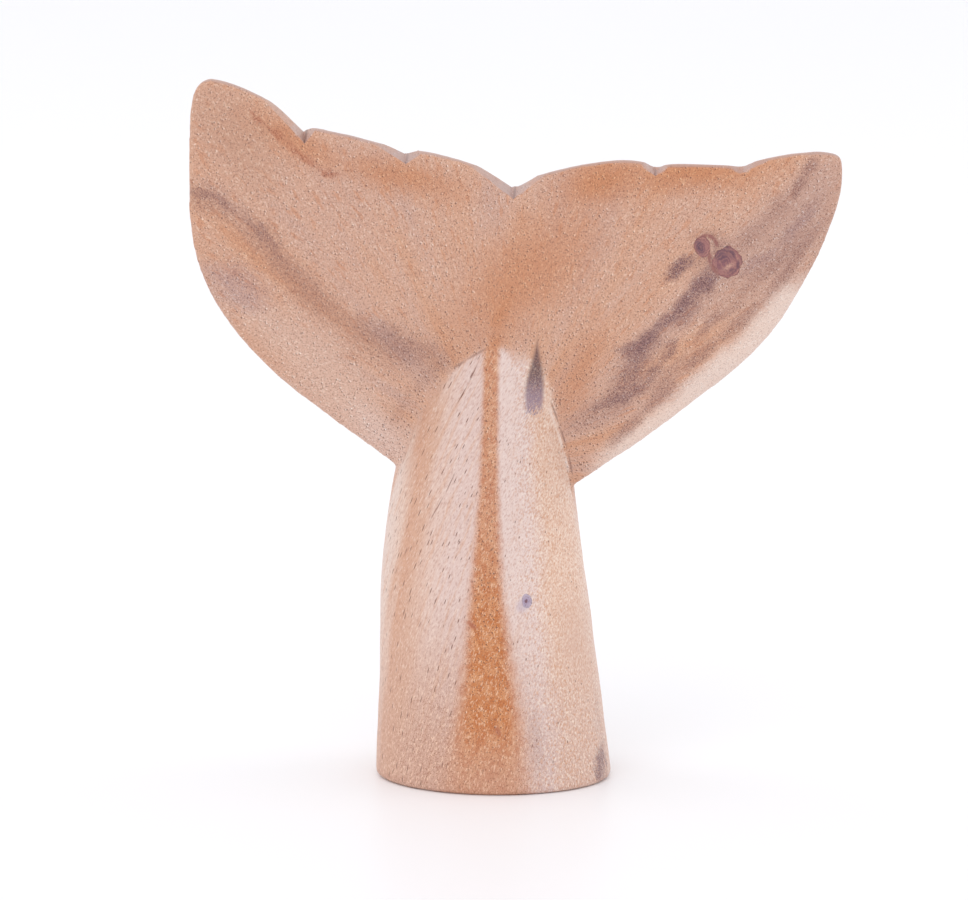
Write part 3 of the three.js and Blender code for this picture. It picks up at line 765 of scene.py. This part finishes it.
curled = wood.vector("ADD", place, wood.vector("SCALE", wood.wander(place, CURL_LENGTH, 1.0), CURL_REACH))
dash = pores_in(stem_fibre, DASH_SPACING, wood.rise(band, *DASHED_BANDS, 0.2, 0.9), 0.2, 0.1)
dot_share = off_rim(0.5, wood.rise(along_fan, *CLOSE_DOTS, 0.6, 0.95))
dot_reach = wood.rise(along_fan, *LARGE_DOTS, 0.24, 0.34)
dot = pores_in(curled, DOT_SPACING, dot_share, dot_reach, 0.11)
lip = pores_in(wood.vector("ADD", curled, LIP_SHIFT), DOT_SPACING, dot_share, 0.3, 0.12)
dotted = wood.maths("SUBTRACT", 1.0, wood.maths("MULTIPLY", on_stem, wood.maths("SUBTRACT", 1.0, stripe)))
lip_share = wood.maths("MULTIPLY", wood.maths("MULTIPLY", lip, dotted), off_rim(0.5, 0.9))
colour = wood.shade(lip_share, colour, PORE_LIP)
pores = wood.blend(dotted, dash, dot)
pore_share = wood.maths("MULTIPLY", pores, off_rim(0.65, 0.88))
colour = wood.tinge(pore_share, colour, PORE)

wood.feed(wood.shader.inputs["Base Color"], colour)
relief = wood.maths("MULTIPLY_ADD", pores, -1.0, wood.maths("MULTIPLY", stipple, STIPPLE_RELIEF))
wood.bump(PORE_DEPTH, relief)
wood.shader.inputs["Roughness"].default_value = WAX_ROUGHNESS
block.data.materials.clear()
block.data.materials.append(wood.material)
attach(block, "root")
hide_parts("carved_tail")

# Knots. Three stubs of branches, of dark hard wood with tight rings, that the tree grew round. Each was cut
# off flush with the carving, and a hair of a gap has opened round it as the wood dried.
KNOT_DEPTH = 6 * MM
KNOT_TAPER = 0.6
KNOT_SEAM = 0.03 * MM
KNOT_SIDES = 40
KNOT_UNEVEN = 0.4
UNEVEN_LENGTH = 2.2 * MM
KNOT_ROUGHNESS = 0.45
GRIT_HEIGHT = 0.06 * MM
uneven = bpy.data.textures.new("uneven_knot", "CLOUDS")
uneven.noise_scale = UNEVEN_LENGTH


def taper_tool(seat, width, height, growth):
    """A tapered, uneven plug that points into the wood along the seat's Y axis."""
    bpy.ops.mesh.primitive_cone_add(vertices=KNOT_SIDES, radius1=1, radius2=KNOT_TAPER, depth=2)
    tool = bpy.context.object
    half_size = Matrix.Diagonal((width / 2 + growth, KNOT_DEPTH + growth, height / 2 + growth, 1))
    tool.data.transform(seat @ half_size @ Matrix.Rotation(-math.pi / 2, 4, "X"))
    finish_with(tool, "DISPLACE", texture=uneven, strength=KNOT_UNEVEN * width, mid_level=0.5)
    return tool


def mouth_of(node, inward):
    """The middle of a knot's outer end."""
    low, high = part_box(node)
    return (low + high) / 2 - inward * KNOT_DEPTH / 2


def seat_of(node, inward):
    """A knot's own frame, with its Y axis pointing into the wood."""
    turn = Vector((0, 1, 0)).rotation_difference(inward).to_matrix().to_4x4()
    return Matrix.Translation(mouth_of(node, inward)) @ turn


def clean_seam(piece):
    """Takes out corners that a cut has left halfway along an edge, with one face on each side."""
    edges_at = Counter(end for edge in piece.data.edges for end in edge.vertices)
    work_on(piece)
    bpy.ops.object.mode_set(mode="EDIT")
    bpy.ops.mesh.select_mode(type="VERT")
    bpy.ops.mesh.select_all(action="DESELECT")
    bpy.ops.object.mode_set(mode="OBJECT")
    for corner in piece.data.vertices:
        corner.select = edges_at[corner.index] == 2
    bpy.ops.object.mode_set(mode="EDIT")
    bpy.ops.mesh.dissolve_verts()
    bpy.ops.object.mode_set(mode="OBJECT")


into_fluke = fluke_frame.to_3x3() @ Vector((0, 1, 0))
into_stem = Vector((-0.5, 0.86, 0))
KNOT_SIZES = (
    ("large_knot", "fluke_knot_large", into_fluke, 10.6 * MM, 10.8 * MM),
    ("small_knot", "fluke_knot_small", into_fluke, 5.8 * MM, 8 * MM),
    ("pin_knot", "stem_pin_knot", into_stem, 3.6 * MM, 4.6 * MM),
)
uncut = copy_of(block, "uncut_block")
knots = []
for name, node, inward, width, height in KNOT_SIZES:
    seat = seat_of(node, inward)
    knot = copy_of(uncut, name)
    plug = taper_tool(seat, width, height, 0)
    cut(knot, plug, "INTERSECT")
    pocket = taper_tool(seat, width, height, KNOT_SEAM)
    cut(block, pocket, "DIFFERENCE")
    bpy.data.objects.remove(plug)
    bpy.data.objects.remove(pocket)
    clean_seam(knot)
    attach(knot, "root")
    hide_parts(node)
    knots.append(knot)
bpy.data.objects.remove(uncut)
clean_seam(block)

# Rings round each pith, tight and red in the fluke knots, and lilac round a dark heart in the pin knot below.
RINGS = (
    (0.0, (136, 88, 96)),
    (0.4, (144, 94, 98)),
    (0.52, (168, 116, 110)),
    (0.64, (146, 94, 96)),
    (0.78, (174, 122, 114)),
    (0.9, (152, 98, 98)),
)
PIN_RINGS = ((0.0, (100, 70, 86)), (0.14, (112, 82, 98)), (0.3, (168, 154, 180)), (0.95, (192, 180, 196)))
PITH_OFFSET = Vector((0.14, 0.06, 0))
HEART = (98, 66, 82)
KNOT_PALE = (204, 158, 140)
FINE_RING = (196, 140, 122)
GRIT = (84, 54, 58)
GRIT_SIZE = 0.35
FINE_RING_PITCH = 34.0
SWIRL_LENGTH = 2
PIN_SWIRL = 0.8
FLUKE_SWIRL = 2.4
PIN_TO_FLUKE = (90.0, 110.0)
VEIN_EDGE = (1.2, 0.2)
knot_wood = Finish("knot_wood")
knot_place = knot_wood.place()
knot_x, _, knot_z = knot_wood.axes(knot_place)
swirl_x, _, swirl_z = knot_wood.axes(knot_wood.wander(knot_place, SWIRL_LENGTH, 3.0))
swirl_reach = knot_wood.rise(knot_z, *PIN_TO_FLUKE, PIN_SWIRL, FLUKE_SWIRL)
swirled_x = knot_wood.maths("MULTIPLY_ADD", swirl_x, swirl_reach, knot_x)
swirled_z = knot_wood.maths("MULTIPLY_ADD", swirl_z, swirl_reach, knot_z)
knot_drawing = knot_wood.combined(swirled_x, swirled_z, 0.0)
nearest = None
for _, node, inward, width, height in KNOT_SIZES:
    pith = mouth_of(node, inward) / MM
    half = Vector((width / 2 / MM, height / 2 / MM, 1))
    seat = (pith.x - PITH_OFFSET.x * half.x, pith.z - PITH_OFFSET.y * half.y, 0)
    ring = knot_wood.add("Mapping", knot_drawing, seat, (0, 0, 0), half, vector_type="TEXTURE")
    gap = knot_wood.vector("LENGTH", ring)
    nearest = gap if nearest is None else knot_wood.maths("MINIMUM", nearest, gap)
knot_colour = knot_wood.bands(nearest, RINGS)


def vein(colour, share, tone, half_width, *points):
    """A vein that follows the swirl of the knot."""
    gap = knot_wood.streak(knot_drawing, half_width, *points)
    return knot_wood.tinge(knot_wood.rise(gap, *VEIN_EDGE, 0.0, share), colour, tone)


VEINS = (
    (0.8, HEART, 1.2, (57.6, 154.8), (58.4, 151.8)),
    (0.8, KNOT_RED, 0.7, (56.2, 152), (56.4, 154.6), (58, 156.6)),
    (0.75, HEART, 1.8, (63, 151.4), (65, 150.2)),
    (0.75, HEART, 1.0, (63.8, 153), (66, 152.4), (67.8, 150.4)),
    (0.9, KNOT_PALE, 1.1, (65, 147), (67, 148.4)),
    (0.7, HEART, 0.7, (66, 145.6), (68.2, 146.8), (69, 149.4)),
)
for row in VEINS:
    knot_colour = vein(knot_colour, *row)
pin_colour = knot_wood.bands(nearest, PIN_RINGS)
knot_colour = knot_wood.mix(knot_wood.rise(knot_z, *PIN_TO_FLUKE), pin_colour, knot_colour)
fine_rings = knot_wood.maths("SINE", knot_wood.maths("MULTIPLY", nearest, FINE_RING_PITCH))
knot_colour = knot_wood.tinge(knot_wood.rise(fine_rings, 0.0, 1.0, 0.0, 0.3), knot_colour, FINE_RING)
grit = knot_wood.noise(knot_wood.vector("SCALE", knot_place, 1 / GRIT_SIZE), 1.0)
knot_colour = knot_wood.tinge(knot_wood.rise(grit, 0.5, 0.34, 0.0, 0.35), knot_colour, GRIT)
knot_wood.feed(knot_wood.shader.inputs["Base Color"], knot_colour)
knot_wood.bump(GRIT_HEIGHT, grit)
knot_wood.shader.inputs["Roughness"].default_value = KNOT_ROUGHNESS
for knot in knots:
    knot.data.materials.clear()
    knot.data.materials.append(knot_wood.material)

# Studio. A white table and a white tent of light all round, with one broad soft lamp above in front and a
# weak lamp at each side, whose light runs along the edges.
FLOOR_SIZE = 20
TABLE_WHITE = (251, 251, 255)
TABLE_ROUGHNESS = 0.4
TABLE_SHINE = 0.15
TENT_LIGHT = 0.87
LAMP_PLACE = Vector((-0.5, -1.5, 1.9))
LAMP_POWER = 0.5
LAMP_SPREAD = math.radians(50)
EDGE_LAMP_PLACE = Vector((1.6, 0.3, 1.2))
EDGE_LAMP_POWER = 4
EDGE_LAMP_SIZE = 1.2
TARGET = Vector((-2.742, 0, 93.42)) * MM
CAMERA_AZIMUTH = math.radians(5.5)
CAMERA_ELEVATION = math.radians(10.2)
CAMERA_DISTANCE = 1421.7 * MM
CAMERA_LENS = 188
CAMERA_SENSOR = 36
CAMERA_SIGHT = 100
bpy.ops.object.select_all(action="DESELECT")
bpy.ops.mesh.primitive_plane_add(size=FLOOR_SIZE)
floor = bpy.context.object
floor.name = "studio_table"
table = Finish("studio_table")
table.shader.inputs["Base Color"].default_value = paint(*TABLE_WHITE)
table.shader.inputs["Roughness"].default_value = TABLE_ROUGHNESS
table.shader.inputs["Specular IOR Level"].default_value = TABLE_SHINE
floor.data.materials.append(table.material)

world = bpy.data.worlds.new("studio_tent")
bpy.context.scene.world = world
world.use_nodes = True
tent = world.node_tree
rays_to = tent.nodes.new("ShaderNodeLightPath")
seen = tent.nodes.new("ShaderNodeMath")
seen.operation = "MAXIMUM"
tent.links.new(rays_to.outputs["Is Camera Ray"], seen.inputs[0])
tent.links.new(rays_to.outputs["Is Glossy Ray"], seen.inputs[1])
strength = tent.nodes.new("ShaderNodeMapRange")
tent.links.new(seen.outputs[0], strength.inputs["Value"])
strength.inputs["To Min"].default_value = TENT_LIGHT
strength.inputs["To Max"].default_value = 1
tent.nodes["Background"].inputs["Color"].default_value = (1, 1, 1, 1)
tent.links.new(strength.outputs[0], tent.nodes["Background"].inputs["Strength"])


def lamp(kind, place, power):
    """A lamp that points where the camera points."""
    bpy.ops.object.light_add(type=kind, location=place)
    made = bpy.context.object
    made.data.energy = power
    made.rotation_euler = (place - TARGET).to_track_quat("Z", "Y").to_euler()
    return made


key_lamp = lamp("SUN", LAMP_PLACE, LAMP_POWER)
key_lamp.data.angle = LAMP_SPREAD
key_lamp.visible_glossy = False
for side in (-1, 1):
    edge_lamp = lamp("AREA", EDGE_LAMP_PLACE * Vector((side, 1, 1)), EDGE_LAMP_POWER)
    edge_lamp.data.size = EDGE_LAMP_SIZE

camera = bpy.data.objects.new("camera", bpy.data.cameras.new("camera"))
bpy.context.scene.collection.objects.link(camera)
back = Vector(
    (
        math.sin(CAMERA_AZIMUTH) * math.cos(CAMERA_ELEVATION),
        -math.cos(CAMERA_AZIMUTH) * math.cos(CAMERA_ELEVATION),
        math.sin(CAMERA_ELEVATION),
    )
)
camera.location = TARGET + back * CAMERA_DISTANCE
camera.rotation_euler = back.to_track_quat("Z", "Y").to_euler()
camera.data.lens = CAMERA_LENS
camera.data.sensor_width = CAMERA_SENSOR
camera.data.clip_end = CAMERA_SIGHT
bpy.context.scene.camera = camera
bpy.context.scene.view_settings.view_transform = "Standard"
